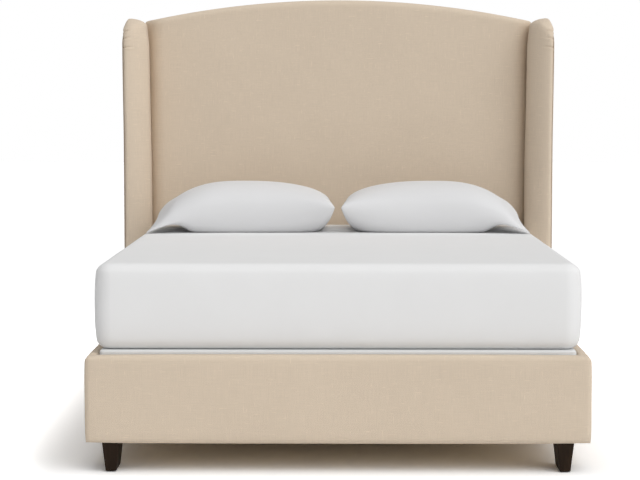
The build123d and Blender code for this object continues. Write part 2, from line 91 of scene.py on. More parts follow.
def cut_across(form, axis, places):
    """Cuts the form square to an axis at each of the places along it."""
    normal = Vector((0, 0, 0))
    normal[axis] = 1
    for place in places:
        everything = form.verts[:] + form.edges[:] + form.faces[:]
        bmesh.ops.bisect_plane(form, geom=everything, dist=cut_weld, plane_co=normal * place,
                               plane_no=normal)
    return form


def steps(start, end, pitch):
    """Evenly spaced places between start and end, about pitch apart, without the two ends."""
    count = max(1, round((end - start) / pitch))
    return [start + (end - start) * i / count for i in range(1, count)]


def gridded(form, low, high, pitch):
    """Cuts the form into cells of about the pitch along all three axes."""
    for axis in range(3):
        cut_across(form, axis, steps(low[axis], high[axis], pitch))
    return form


def reshaped(form, rule):
    """Moves every vertex by rule(place, normal)."""
    form.normal_update()
    moved = [(vert, rule(vert.co.copy(), vert.normal.copy())) for vert in form.verts]
    for vert, place in moved:
        vert.co = place
    return form


def bump_at(value, centre, width):
    """Goes from 1 at the centre to nearly 0 at twice the width from it."""
    return exp(-((value - centre) / width) ** 2)


def ease(value, start, end):
    """Goes smoothly from 0 at start to 1 at end."""
    share = min(1, max(0, (value - start) / (end - start)))
    return share * share * (3 - 2 * share)


def ripple(place, size, depth):
    """A soft unevenness, as stuffing gives to stretched cloth."""
    return noise.noise(place / size) * depth


def lay_cloth(form):
    """Lays the cloth map: metres across and along the cloth, on the face's own plane."""
    layer = form.loops.layers.uv.new("cloth")
    for face in form.faces:
        normal = face.normal
        main = max(range(3), key=lambda axis: abs(normal[axis]))
        across, along = ((1, 2), (0, 2), (0, 1))[main]
        for loop in face.loops:
            loop[layer].uv = (loop.vert.co[across] + main, loop.vert.co[along] + main)


def piece(name, form, body, finish, replaced=(), smooth=True, levels=0):
    """Makes the form an object that rides on a body and stands for the CAD nodes it replaces."""
    bmesh.ops.recalc_face_normals(form, faces=form.faces)
    form.normal_update()
    lay_cloth(form)
    for face in form.faces:
        face.smooth = smooth
    mesh = bpy.data.meshes.new(name)
    form.to_mesh(mesh)
    form.free()
    made = bpy.data.objects.new(name, mesh)
    bpy.context.scene.collection.objects.link(made)
    if levels:
        finer = made.modifiers.new("finer", "SUBSURF")
        finer.levels = levels
        finer.render_levels = levels
    mesh.materials.append(finish.material)
    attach(made, body)
    if replaced:
        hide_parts(*replaced)


# Materials

class Wire:
    """A number in a material. Arithmetic on wires adds Math nodes."""

    def __init__(self, graph, socket):
        self.graph = graph
        self.socket = socket

    def math(self, operation, *values, clamp=False):
        settings = {"operation": operation, "use_clamp": clamp}
        return self.graph.node("ShaderNodeMath", settings, dict(enumerate(values)))

    def __add__(self, other):
        return self.math("ADD", self, other)

    __radd__ = __add__

    def __mul__(self, other):
        return self.math("MULTIPLY", self, other)

    __rmul__ = __mul__

    def __sub__(self, other):
        return self.math("SUBTRACT", self, other)

    def __rsub__(self, other):
        return self.math("SUBTRACT", other, self)

    def __pow__(self, other):
        return self.math("POWER", self, other)

    def sine(self):
        return self.math("SINE", self)

    def ramp(self, start, end):
        """Goes from 0 at start to 1 at end, held outside them."""
        settings = {"clamp": True, "interpolation_type": "SMOOTHSTEP"}
        inputs = {0: self, 1: start, 2: end, 3: 0, 4: 1}
        return self.graph.node("ShaderNodeMapRange", settings, inputs)


class Graph:
    """Nodes of one node tree, wired as they are made."""

    def __init__(self, tree):
        self.tree = tree
        tree.nodes.clear()

    def node(self, kind, settings=None, inputs=None, output=0):
        """Adds a node: its settings first, then the values or wires of its sockets."""
        made = self.tree.nodes.new(kind)
        for name, value in (settings or {}).items():
            setattr(made, name, value)
        for key, value in (inputs or {}).items():
            if isinstance(value, Wire):
                self.tree.links.new(value.socket, made.inputs[key])
            else:
                made.inputs[key].default_value = value
        return Wire(self, made.outputs[output]) if made.outputs else None

    def mixed(self, share, a, b):
        """A colour between a and b."""
        return self.node("ShaderNodeMix", {"data_type": "RGBA"}, {0: share, 6: a, 7: b}, output=2)


class Finish(Graph):
    """A material, with the record's slot that it stands for."""

    def __init__(self, name, slot=None):
        self.slot = slot
        self.material = bpy.data.materials.new(name)
        self.material.use_nodes = True
        super().__init__(self.material.node_tree)

    def cloth_map(self):
        return self.node("ShaderNodeUVMap", {"uv_map": "cloth"})

    def place(self):
        """The place on the piece at rest, in metres."""
        return self.node("ShaderNodeTexCoord", output="Object")

    def scaled(self, vector, scale):
        return self.node("ShaderNodeMapping", None, {"Vector": vector, "Scale": scale})

    def parts(self, vector):
        split = self.node("ShaderNodeSeparateXYZ", None, {0: vector})
        return [Wire(self, output) for output in split.socket.node.outputs]

    def noise(self, vector, scale=1.0, detail=2.0, roughness=0.5):
        inputs = {"Vector": vector, "Scale": scale, "Detail": detail, "Roughness": roughness}
        return self.node("ShaderNodeTexNoise", None, inputs)

    def bump(self, height, distance, strength=1.0):
        inputs = {"Height": height, "Distance": distance, "Strength": strength}
        return self.node("ShaderNodeBump", None, inputs)

    def surface(self, inputs):
        """Ends the material in a Principled shader with these inputs."""
        shader = self.node("ShaderNodeBsdfPrincipled", None, inputs)
        self.node("ShaderNodeOutputMaterial", None, {"Surface": shader})
        return self


def tint(red, green, blue):
    """A colour written as it looks on a screen, from 0 to 255, as linear light."""
    values = []
    for value in (red, green, blue):
        share = value / 255
        values.append(share / 12.92 if share <= 0.04045 else ((share + 0.055) / 1.055) ** 2.4)
    return (*values, 1)


def shade(colour, factor):
    """A colour made darker or lighter by a factor."""
    return tuple(min(1, value * factor) for value in colour[:3]) + (1,)


def grey(level):
    return (level, level, level, 1)


# Streaks in a metre of linen, along its threads and across them.
thread_along, thread_across = 14, 620
slub_along, slub_across = 26, 310
linen_thread = 1.6 * mm


def linen(name, slot, colour):
    """Plain woven upholstery cloth with slubs in its threads."""
    finish = Finish(name, slot)
    cloth = finish.cloth_map()
    weft = finish.noise(finish.scaled(cloth, (thread_along, thread_across, 1)), detail=3)
    warp = finish.noise(finish.scaled(cloth, (thread_across, thread_along, 1)), detail=3)
    slub_weft = finish.noise(finish.scaled(cloth, (slub_along, slub_across, 1)), detail=1)
    slub_weft = slub_weft.ramp(0.66, 0.78)
    slub_warp = finish.noise(finish.scaled(cloth, (slub_across, slub_along, 1)), detail=1)
    slub_warp = slub_warp.ramp(0.67, 0.79)
    cloudy = finish.noise(cloth, scale=3.5, detail=3)
    across, along, _ = finish.parts(cloth)
    thread = 2 * pi / linen_thread
    weave = (across * thread).sine() * (along * thread).sine()
    level = (weft + warp) * 0.5 + (cloudy - 0.5) * 0.25
    base = finish.mixed(level.ramp(0.28, 0.72), shade(colour, 0.945), shade(colour, 1.05))
    slubbed = finish.mixed((slub_weft + slub_warp) * 0.8, base, shade(colour, 1.17))
    height = weave * 0.35 + (weft + warp) * 0.5 + (slub_weft + slub_warp) * 0.5
    return finish.surface({
        "Base Color": slubbed,
        "Roughness": 0.9 - (weft + warp) * 0.06,
        "Normal": finish.bump(height, 0.6 * mm, 0.7),
        "Sheen Weight": 0.12,
        "Sheen Roughness": 0.5,
        "Specular IOR Level": 0.25,
    })


def cotton(name, slot, colour, thread_size, puckers):
    """A smooth fine cloth with a faint unevenness."""
    finish = Finish(name, slot)
    cloth = finish.cloth_map()
    across, along, _ = finish.parts(cloth)
    thread = 2 * pi / thread_size
    weave = (across * thread).sine() * (along * thread).sine()
    cloudy = finish.noise(finish.place(), scale=9, detail=4)
    threads = finish.noise(finish.scaled(cloth, (500, 500, 1)), detail=2)
    base = finish.mixed(cloudy * 0.6 + threads * 0.4, shade(colour, 0.975), shade(colour, 1.02))
    height = weave * 0.3 + threads * 0.3 + cloudy * puckers
    return finish.surface({
        "Base Color": base,
        "Roughness": 0.88 - cloudy * 0.08,
        "Normal": finish.bump(height, 0.4 * mm, 0.6),
        "Sheen Weight": 0.08,
        "Specular IOR Level": 0.25,
    })


def timber(name, slot, dark, light, roughness, grain_axis, gloss=0.4):
    """Wood with long grain along an axis."""
    finish = Finish(name, slot)
    stretch = [26, 26, 26]
    stretch[grain_axis] = 1.6
    place = finish.scaled(finish.place(), tuple(stretch))
    broad = finish.noise(place, scale=1.3, detail=4, roughness=0.6)
    fine = finish.noise(place, scale=9, detail=5, roughness=0.7)
    rings = ((broad * 24).sine() * 0.5 + 0.5) * 0.55 + fine * 0.45
    return finish.surface({
        "Base Color": finish.mixed(rings, dark, light),
        "Roughness": roughness + fine * 0.15,
        "Normal": finish.bump(rings * 0.4 + fine * 0.6, 0.3 * mm, 0.5),
        "Specular IOR Level": gloss,
    })


def metal(name, slot, colour, roughness, grain, metallic=1.0):
    """Plated, polished or coated metal with a fine surface."""
    finish = Finish(name, slot)
    place = finish.place()
    speckle = finish.noise(place, scale=grain, detail=3)
    smudge = finish.noise(place, scale=22, detail=3)
    return finish.surface({
        "Base Color": finish.mixed(smudge, shade(colour, 0.88), shade(colour, 1.06)),
        "Metallic": metallic,
        "Roughness": roughness + (smudge - 0.5) * 0.14,
        "Normal": finish.bump(speckle, 0.1 * mm, 0.25),
    })


upholstery = linen("upholstery_linen", "upholstery", tint(219, 202, 181))
# The welt's cord is the upholstery linen painted darker: painted shade that stands in for the dark
# line of the seam along each wing's outer edge.
welt_cloth_painted_shade = linen("welt_linen_painted_shade", "welt", tint(183, 164, 145))
sheet_cotton = cotton("mattress_cotton", "mattress_ticking", tint(236, 236, 236),
                      thread_size=1.1 * mm, puckers=0.8)
pillow_cotton = cotton("pillow_cotton", "pillow_cotton", tint(224, 224, 225),
                       thread_size=0.8 * mm, puckers=1.0)
platform_cloth = cotton("platform_cloth", "platform_cloth", tint(226, 227, 227),
                        thread_size=1.4 * mm, puckers=0.4)
espresso = timber("espresso_wood", "dark_wood", tint(30, 20, 12), tint(50, 36, 24),
                  roughness=0.42, grain_axis=2, gloss=0.12)
pine_dark, pine_light = tint(203, 168, 118), tint(226, 196, 150)
pine_y = timber("pine_lengthwise", "pine", pine_dark, pine_light, roughness=0.55, grain_axis=1)
pine_x = timber("pine_crosswise", "pine", pine_dark, pine_light, roughness=0.55, grain_axis=0)
pine_z = timber("pine_upright", "pine", pine_dark, pine_light, roughness=0.55, grain_axis=2)
ply = timber("birch_ply", "plywood", tint(206, 178, 136), tint(224, 201, 165),
             roughness=0.5, grain_axis=0)
black_steel = metal("black_powder_coat", "black_steel", tint(42, 42, 44),
                    roughness=0.42, grain=1400, metallic=0.0)
zinc = metal("zinc_plate", "zinc_steel", tint(190, 192, 196), roughness=0.33, grain=900)
strut_black = metal("strut_gloss_black", "strut_black", tint(26, 26, 28),
                    roughness=0.18, grain=500, metallic=0.0)
chrome = metal("rod_chrome", "rod_chrome", tint(226, 226, 228), roughness=0.06, grain=300)
nylon = metal("glide_nylon", "glide_plastic", tint(36, 36, 36),
              roughness=0.5, grain=700, metallic=0.0)


# Rails, footboard and headboard

hair = 0.01 * mm
straight = 0.9
slanting = 0.7
board_crown_power = 6
board_ripple_size = 0.11
board_ripple_depth = 0.5 * mm

footboard_side_roll = 16 * mm
footboard_front_roll = 14 * mm
footboard_back_roll = 6 * mm
footboard_back_band = 10 * mm
footboard_cell = 34 * mm
footboard_crown = 3 * mm

rail_roll = 12 * mm
rail_cell = 36 * mm
rail_crown = 2 * mm


def upright(middle, way):
    return abs(way.z) > straight


def top_sides(high):
    """Picks the edges of a block's top that run from foot to head."""
    return lambda middle, way: middle.z > high.z - hair and abs(way.y) > straight


def crowned(low, high, depth):
    """A rule that swells the large faces of a block by depth, less towards their edges."""
    middle = (Vector(low) + Vector(high)) / 2
    half = (Vector(high) - Vector(low)) / 2

    def rule(place, normal):
        share = Vector((abs(place[i] - middle[i]) / half[i] for i in range(3)))
        moved = place.copy()
        for axis in range(3):
            others = [1 - min(1, share[other]) ** board_crown_power
                      for other in range(3) if other != axis]
            moved[axis] += depth * others[0] * others[1] * normal[axis] * abs(normal[axis])
        return moved + normal * ripple(place, board_ripple_size, board_ripple_depth)

    return rule


def footboard():
    """The padded board at the foot."""
    low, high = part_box("footboard_cover")
    form = rolled(block_form(low, high), top_sides(high), footboard_side_roll, segments=5)
    rolled(form, lambda middle, way: middle.y < low.y + hair, footboard_front_roll, segments=5)
    rolled(form, lambda middle, way: middle.y > high.y - hair
           and middle.z > high.z - footboard_back_band, footboard_back_roll, segments=3)
    gridded(form, low, high, footboard_cell)
    reshaped(form, crowned(low, high, footboard_crown))
    piece("footboard_padding", form, "frame", upholstery, ["footboard_cover"])


def side_rail(side):
    """The padded rail of one side."""
    low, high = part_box(f"side_rail_cover_{side}")
    form = rolled(block_form(low, high), top_sides(high), rail_roll, segments=5)
    gridded(form, low, high, rail_cell)
    reshaped(form, crowned(low, high, rail_crown))
    piece(f"side_rail_padding_{side}", form, "frame", upholstery, [f"side_rail_cover_{side}"])


headboard_rise = 87 * mm
arch_band = 4 * mm
panel_columns = 64
panel_rows = 44
panel_roll = 24 * mm
panel_front_depth = 40 * mm
panel_swell = 4 * mm
panel_ripple_size = 0.16
panel_ripple_depth = 1.2 * mm
crown_drop = 4.5 * mm
crown_reach = 110 * mm
panel_end_round = 12 * mm
panel_end_cuts = (0.15, 0.4, 0.7, 1)
panel_end_drop = 4 * mm
panel_end_spread = 9 * mm
panel_end_reach = 60 * mm
seam_depth = 20 * mm
seam_width = 64 * mm
seam_sharpness = 2.5
crease_depth = 21 * mm
crease_width = 42 * mm
back_columns = 48
back_rows = 36
back_roll = 4 * mm


def arch_height(x, low, high, rise):
    """The height of the headboard's arched top at x."""
    half = (high.x - low.x) / 2
    radius = (half ** 2 + rise ** 2) / (2 * rise)
    return high.z - radius + sqrt(radius ** 2 - x ** 2)


def arched_form(low, high, rise, columns, rows):
    """A board between the corners whose top is arched by the rise."""
    form = bmesh.new()
    bmesh.ops.create_grid(form, x_segments=columns, y_segments=rows, size=1)
    for vert in form.verts:
        x = vert.co.x * (high.x - low.x) / 2
        share = (vert.co.y + 1) / 2
        vert.co = Vector((x, low.y, low.z + (arch_height(x, low, high, rise) - low.z) * share))
    made = bmesh.ops.extrude_face_region(form, geom=form.faces[:])
    backs = [item for item in made["geom"] if isinstance(item, bmesh.types.BMVert)]
    bmesh.ops.translate(form, vec=(0, high.y - low.y, 0), verts=backs)
    bmesh.ops.recalc_face_normals(form, faces=form.faces)
    return form


def on_arch(middle, way, low, high):
    """Whether an edge runs along the arched top."""
    height = arch_height(middle.x, low, high, headboard_rise)
    return middle.z > height - arch_band and abs(way.x) > slanting


def headboard_panel():
    """The padded front, drawn in at both ends, where it meets the wings."""
    low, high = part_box("headboard_pad")
    form = arched_form(low, high, headboard_rise, panel_columns, panel_rows)
    ends = [low.x + share * panel_end_round for share in panel_end_cuts]
    cut_across(form, 0, ends + [-end for end in ends])
    rolled(form, lambda middle, way: middle.y < low.y + hair and on_arch(middle, way, low, high),
           panel_roll, segments=6)
    half = (high.x - low.x) / 2

    def puffed(place, normal):
        aside = min(1, max(0, (abs(place.x) - half + panel_end_round) / panel_end_round))
        below = arch_height(place.x, low, high, headboard_rise) - place.z
        upper = 1 - ease(below, 0, crown_reach)
        place.z -= (panel_end_drop * (1 - sqrt(1 - aside ** 2)) + crown_drop) * upper
        end = ease(abs(place.x), half - panel_end_reach, half) * upper
        place.x += panel_end_spread * end * (1 if place.x > 0 else -1)
        if place.y > low.y + panel_front_depth:
            return place
        seam = 1 - min(1, (half - abs(place.x)) / seam_width)
        sunk = seam_depth * seam ** seam_sharpness
        flatness = 1 - (place.y - low.y) / panel_front_depth
        sunk += crease_depth * ease(abs(place.x), half - crease_width, half) * flatness
        swell = panel_swell * (1 - (abs(place.x) / half) ** 4)
        uneven = ripple(place, panel_ripple_size, panel_ripple_depth)
        return place + Vector((0, sunk - swell + uneven, 0))

    reshaped(form, puffed)
    piece("headboard_padding", form, "frame", upholstery, ["headboard_pad"])


def headboard_back():
    """The cloth-covered back board."""
    low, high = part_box("headboard_back_panel")
    form = arched_form(low, high, headboard_rise, back_columns, back_rows)
    rolled(form, lambda middle, way: middle.y > high.y - hair and on_arch(middle, way, low, high),
           back_roll, segments=3)
    piece("headboard_back_cloth", form, "frame", upholstery, ["headboard_back_panel"])


# Wings

wing_corner = 110 * mm
wing_low, wing_high = (Vector(corner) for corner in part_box("wing_pad_right"))
wing_outer_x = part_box("wing_side_panel_right")[1].x
rail_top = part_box("side_rail_cover_left")[1].z
inner_roll = 66 * mm
outer_roll = 15 * mm
wing_cell_up = 26 * mm
wing_cell_deep = 22 * mm
wing_ripple_size = 0.09
wing_ripple_depth = 0.9 * mm

# A pair holds the two places between which something comes in or goes out. The
# brow is a small swell of the outer side under the dome.
flank_bulge = 21 * mm
flank_filled = (rail_top + 20 * mm, 620 * mm)
flank_slimming = 0.42
flank_slimmed = (750 * mm, 1500 * mm)
flank_back = (40 * mm, 110 * mm)
front_slant = 24 * mm
front_slant_reach = (40 * mm, 130 * mm)
inner_top_lift = 0.52
inner_top_reach = (50 * mm, 130 * mm)
inner_top_width = 30 * mm
brow_swell = 4.5 * mm
brow_height = 1468 * mm
brow_reach = 24 * mm

# The outward lean, and the dome of the top's outer side.
wing_flare = 3.5 * mm
wing_flared = (950 * mm, 1400 * mm)
wing_draw = 5 * mm
inner_lean = 8 * mm
inner_leaned = (1390 * mm, 1500 * mm)
wing_top_rise = 3 * mm
dome_width = 33 * mm
dome_fullness = 2.6
dome_height = 59 * mm
dome_reach = 105 * mm

# Each pleat's height at its inner end, and how far it falls going outwards.
pleats = ((1468 * mm, 9 * mm), (1437 * mm, 6 * mm), (1398 * mm, 3 * mm))
pleat_reach = 42 * mm
pleat_back = 90 * mm
pleat_depth = 6.5 * mm
pleat_width = 2.8 * mm
pleat_fade = 0.7
pleat_start = (-0.25, 0.3)
pleat_facing = (0.2, 0.8)
pleat_puff = 0.35
pleat_puff_drop = 7 * mm
pleat_puff_width = 5 * mm
pleat_cell = 2 * mm
pleat_cells_below = 24 * mm
pleat_cells_above = 4 * mm

side_corner = wing_corner - 30 * mm
side_panel_roll = 3 * mm
side_panel_cell = 40 * mm
welt_segments = 10
welt_rise_steps = 44
welt_bend_steps = 14
welt_top_steps = 5


def wing_slab(low, high, corner):
    """A slab whose upper front corner is rounded."""
    return rolled(block_form(low, high),
                  lambda middle, way: middle.y < low.y + hair and middle.z > high.z - hair,
                  corner, segments=14)


def on_outline(low, high, x):
    """Picks the edges of the face at x that run up the front, round the corner and back."""
    def wanted(middle, way):
        around = middle.z > low.z + hair and middle.y < high.y - hair and abs(way.x) < 0.5
        return around and abs(abs(middle.x) - x) < hair
    return wanted


def leaned(place, sign):
    """Leans a wing outwards going up, and lowers the outer side of its top to a dome."""
    aside = min(1, max(0, (abs(place.x) - wing_outer_x + dome_width) / dome_width))
    drop = dome_height * (1 - (1 - aside ** dome_fullness) ** (1 / dome_fullness))
    base_z = wing_high.z - dome_reach
    above = max(0, place.z - base_z)
    weight = ease(abs(place.x), wing_low.x, wing_high.x)
    flare = weight * (wing_flare * ease(place.z, *wing_flared) - wing_draw)
    flare += (1 - weight) * inner_lean * ease(place.z, *inner_leaned)
    rise = (wing_top_rise - drop) * above / dome_reach
    return Vector((place.x + sign * flare, place.y, place.z + rise))


def wing_padding(side, sign):
    """A stuffed wing with a full inner flank and three pleats near its top."""
    low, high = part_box(f"wing_pad_{side}")
    inner, outer = sorted((abs(low.x), abs(high.x)))
    form = wing_slab(low, high, wing_corner)
    rolled(form, on_outline(low, high, inner), inner_roll, segments=12)
    rolled(form, on_outline(low, high, outer), outer_roll, segments=5)
    cut_across(form, 2, steps(low.z, high.z, wing_cell_up))
    pleated = (pleats[-1][0] - pleat_cells_below, high.z - pleat_cells_above)
    cut_across(form, 2, steps(*pleated, pleat_cell))
    cut_across(form, 1, steps(low.y, high.y, wing_cell_deep))

    def stuffed(place, normal):
        beside = abs(place.x)
        height = place.z
        depth_down = high.z - height
        lift = inner_top_lift * (1 - ease(depth_down, *inner_top_reach))
        lift *= 1 - ease(beside, inner + inner_top_width, outer)
        place.z += depth_down * lift
        swell = ease(height, *flank_filled) * (1 - flank_slimming * ease(height, *flank_slimmed))
        bulge = max(0, -sign * normal.x) * flank_bulge * swell
        bulge *= ease(high.y - place.y, *flank_back)
        slant = front_slant * (1 - ease(beside, inner, outer))
        slant *= 1 - ease(place.y - low.y, *front_slant_reach)
        moved = leaned(place, sign) + Vector((-sign * bulge, slant, 0))
        brow = bump_at(moved.z, brow_height, brow_reach) * ease(beside, outer - outer_roll, outer)
        moved.x += sign * brow_swell * brow
        share = max(0, outer - beside) / pleat_reach
        front = ease(-normal.y + max(0, sign * normal.x), *pleat_facing)
        if share < 1 and place.y < low.y + pleat_back:
            for start, fall in pleats:
                above = moved.z - start + fall * (1 - sqrt(share))
                fold = bump_at(above, 0, pleat_width)
                fold -= pleat_puff * bump_at(above, -pleat_puff_drop, pleat_puff_width)
                moved -= (normal * pleat_depth * (1 - share) ** pleat_fade
                          * ease(share, *pleat_start) * fold * front)
        return moved + normal * ripple(place, wing_ripple_size, wing_ripple_depth)

    reshaped(form, stuffed)
    piece(f"wing_padding_{side}", form, "frame", upholstery, [f"wing_pad_{side}"])


def wing_panel(side, sign):
    """The flat outer side of a wing."""
    low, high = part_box(f"wing_side_panel_{side}")
    outer = max(abs(low.x), abs(high.x))
    form = wing_slab(low, high, side_corner)
    rolled(form, on_outline(low, high, outer), side_panel_roll, segments=3)
    cut_across(form, 2, steps(low.z, high.z, side_panel_cell))
    cut_across(form, 1, steps(low.y, high.y, side_panel_cell))
    reshaped(form, lambda place, normal: leaned(place, sign))
    piece(f"wing_panel_{side}", form, "frame", upholstery, [f"wing_side_panel_{side}"])


def wing_welt(side, sign):
    """The covered cord between the padding and the side panel."""
    low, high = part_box(f"wing_welt_{side}")
    radius = (high.x - low.x) / 2
    bend = side_corner + radius
    x = (low.x + high.x) / 2
    form = bmesh.new()
    ring = bmesh.ops.create_circle(form, cap_ends=False, segments=welt_segments, radius=radius)
    start = Vector((x, low.y + radius, low.z))
    bmesh.ops.translate(form, vec=start, verts=ring["verts"])
    rise = high.z - radius - bend - low.z
    end = extruded_run(form, form.edges[:], Vector((0, 0, rise)), welt_rise_steps)
    centre = Vector((x, low.y + radius + bend, high.z - radius - bend))
    turned = bmesh.ops.spin(form, geom=end, cent=centre, axis=(1, 0, 0), angle=-pi / 2,
                            steps=welt_bend_steps, use_merge=False, use_duplicate=False)
    end = [item for item in turned["geom_last"] if isinstance(item, bmesh.types.BMEdge)]
    extruded_run(form, end, Vector((0, high.y - centre.y, 0)), welt_top_steps)
    bmesh.ops.holes_fill(form, edges=[edge for edge in form.edges if edge.is_boundary], sides=0)
    reshaped(form, lambda place, normal: leaned(place, sign))
    # The cord's cloth is painted darker, as painted shade for the seam's dark line.
    piece(f"wing_welt_cord_{side}", form, "frame", welt_cloth_painted_shade, [f"wing_welt_{side}"])


def extruded_run(form, edges, run, count):
    """Extrudes open edges along a run in a number of steps, and gives the last edges."""
    for _ in range(count):
        made = bmesh.ops.extrude_edge_only(form, edges=edges)["geom"]
        verts = [item for item in made if isinstance(item, bmesh.types.BMVert)]
        edges = [item for item in made if isinstance(item, bmesh.types.BMEdge)]
        bmesh.ops.translate(form, vec=run / count, verts=verts)
    return edges


# Platform and bedding

platform_corner = 14 * mm
platform_roll = 7 * mm
platform_cell = 60 * mm
hem_width = 50 * mm
hem_fold = 4 * mm


def platform_pad():
    """The cloth-covered deck with a hem turned in underneath."""
    low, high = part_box("deck_cover")
    form = rolled(block_form(low, high), upright, platform_corner, segments=5)
    rolled(form, lambda middle, way: middle.z > high.z - hair, platform_roll, segments=4)
    under = [face for face in form.faces if face.normal.z < -straight]
    bmesh.ops.inset_region(form, faces=under, thickness=hem_width, depth=-hem_fold,
                           use_even_offset=True)
    cut_across(form, 0, steps(low.x, high.x, platform_cell))
    cut_across(form, 1, steps(low.y, high.y, platform_cell))
    piece("platform_cover_cloth", form, "platform", platform_cloth, ["deck_cover"])


mattress_belly = 13 * mm
mattress_corner = 44 * mm
mattress_top_roll = 28 * mm
mattress_under_roll = 26 * mm
mattress_cell = 44 * mm
mattress_slack = 0.5 * mm
mattress_crown = 2 * mm
mattress_crown_reach = (60 * mm, 400 * mm)
mattress_sink = 1.5 * mm
facing_up = 0.2
mattress_ripple_size = 0.14
mattress_ripple_depth = 1.2 * mm


def mattress():
    """A mattress with bellied sides in a plain cover."""
    low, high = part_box("mattress")
    inset = Vector((mattress_belly, mattress_belly, 0))
    inner_low = Vector(low) + inset
    inner_high = Vector(high) - inset
    form = rolled(block_form(inner_low, inner_high), upright, mattress_corner, segments=8)
    rolled(form, lambda middle, way: middle.z > high.z - hair, mattress_top_roll, segments=7)
    rolled(form, lambda middle, way: middle.z < low.z + hair, mattress_under_roll, segments=5)
    gridded(form, inner_low, inner_high, mattress_cell)
    centre = (Vector(low) + Vector(high)) / 2
    half = (high.z - low.z) / 2

    def stuffed(place, normal):
        flat = Vector((normal.x, normal.y, 0))
        height = (place.z - centre.z) / half
        moved = place + flat * (mattress_belly * (1 - height ** 4) + mattress_slack)
        if normal.z > facing_up:
            edge = min(high.x - abs(place.x), high.y - abs(place.y))
            moved.z += mattress_crown * ease(edge, *mattress_crown_reach) - mattress_sink
        return moved + flat * ripple(place, mattress_ripple_size, mattress_ripple_depth)

    reshaped(form, stuffed)
    piece("mattress_cover", form, "platform", sheet_cotton, ["mattress"],
          levels=1)


# On a pillow, 1 is its edge and 0 its middle, both across and along.
pillow_columns = 72
pillow_rows = 52
pillow_weld = 0.2 * mm
pillow_plump = 10 * mm
pillow_seam_share = 0.36
side_waist = 0.05
end_waist = 0.09
ear_tuck = 0.05
tucked_aside = (0.6, 1)
tucked_headward = (0.4, 1)
edge_slope = 0.42
outer_slope = 0.45
ear_slope = 0.35
ear_front_slope = 0.8
sloped_outward = (-0.2, 0.5)
ear_outward = (0.7, 0.9)
side_roundness = 2.5
end_roundness = 2.4
inner_tip_lift = 31 * mm
inner_tip_back = 0.05
lifted_inward = (0.35, 1)
droop_start = 0.4
droop_power = 1.15
droop_back = 0.3
droop_front_power = 1.5
under_fullness = 1.7
under_hollow = 0.85
hollowed_outward = (0.5, 0.78)


def pillow(side, sign):
    """A stuffed pillow: full in the middle, with flat ears at its corners."""
    low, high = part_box(f"pillow_{side}")
    half = (Vector(high) - Vector(low)) / 2
    centre = (Vector(high) + Vector(low)) / 2
    form = bmesh.new()
    for facing in (1, -1):
        sheet = bmesh.ops.create_grid(form, x_segments=pillow_columns, y_segments=pillow_rows,
                                      size=1)
        for vert in sheet["verts"]:
            vert.co = pillow_place(vert.co.x, vert.co.y, facing, sign, centre, half, low.z)
    bmesh.ops.remove_doubles(form, verts=form.verts, dist=pillow_weld)
    piece(f"pillow_case_{side}", form, "platform", pillow_cotton, [f"pillow_{side}"],
          levels=1)


def pillow_place(s, t, facing, sign, centre, half, rest_z):
    """A point of the pillow. s runs to the right, t to the head, both from -1 to 1."""
    outward = s * sign
    front = (1 - t) / 2
    tucked = 1 - ear_tuck * ease(abs(s), *tucked_aside) * ease(t, *tucked_headward)
    x = centre.x + s * half.x * (1 - side_waist * (1 - t * t)) * tucked
    y = centre.y + t * half.y * (1 - end_waist * (1 - s * s)) * tucked
    slope = edge_slope + outer_slope * ease(outward, *sloped_outward)
    slope += (ear_front_slope * front - ear_slope) * ease(outward, *ear_outward)
    full = max(0, 1 - abs(s) ** side_roundness) ** slope
    full *= max(0, 1 - abs(t) ** end_roundness) ** edge_slope
    height = 2 * half.z + pillow_plump
    droop = max(0, (outward - droop_start) / (1 - droop_start)) ** droop_power
    droop *= droop_back + (1 - droop_back) * front ** droop_front_power
    lift = inner_tip_lift * ease(-outward, *lifted_inward)
    lift *= inner_tip_back + (1 - inner_tip_back) * front
    seam_z = rest_z + pillow_seam_share * height * (1 - droop) + lift
    if facing > 0:
        z = seam_z + (rest_z + height - seam_z) * full
    else:
        hollow = under_hollow * ease(outward, *hollowed_outward) * sqrt(front)
        z = seam_z - (seam_z - rest_z) * min(1, full * under_fullness) * (1 - hollow)
    return Vector((x, y, z))


# Legs

leg_taper = 10 * mm
leg_edge_roll = 3 * mm
leg_foot_roll = 1.2 * mm


def leg(end, side):
    """A tapered leg with softened edges."""
    node = f"{end}_leg_{side}"
    low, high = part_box(node)
    form = block_form(low, high)
    middle = (Vector(low) + Vector(high)) / 2
    for vert in form.verts:
        if vert.co.z < middle.z:
            vert.co.x += leg_taper if vert.co.x < middle.x else -leg_taper
            vert.co.y += leg_taper if vert.co.y < middle.y else -leg_taper
    rolled(form, upright, leg_edge_roll, segments=3)
    rolled(form, lambda place, way: place.z < low.z + hair, leg_foot_roll, segments=2)
    piece(f"{end}_leg_wood_{side}", form, "frame", espresso, [node], smooth=False)


for side, sign in sides:
    leg("front", side)
    leg("rear", side)
    side_rail(side)
    wing_padding(side, sign)
    wing_panel(side, sign)
    wing_welt(side, sign)
    pillow(side, sign)
footboard()
headboard_panel()
headboard_back()
platform_pad()
mattress()


# Finishes of the CAD pieces that show as they are

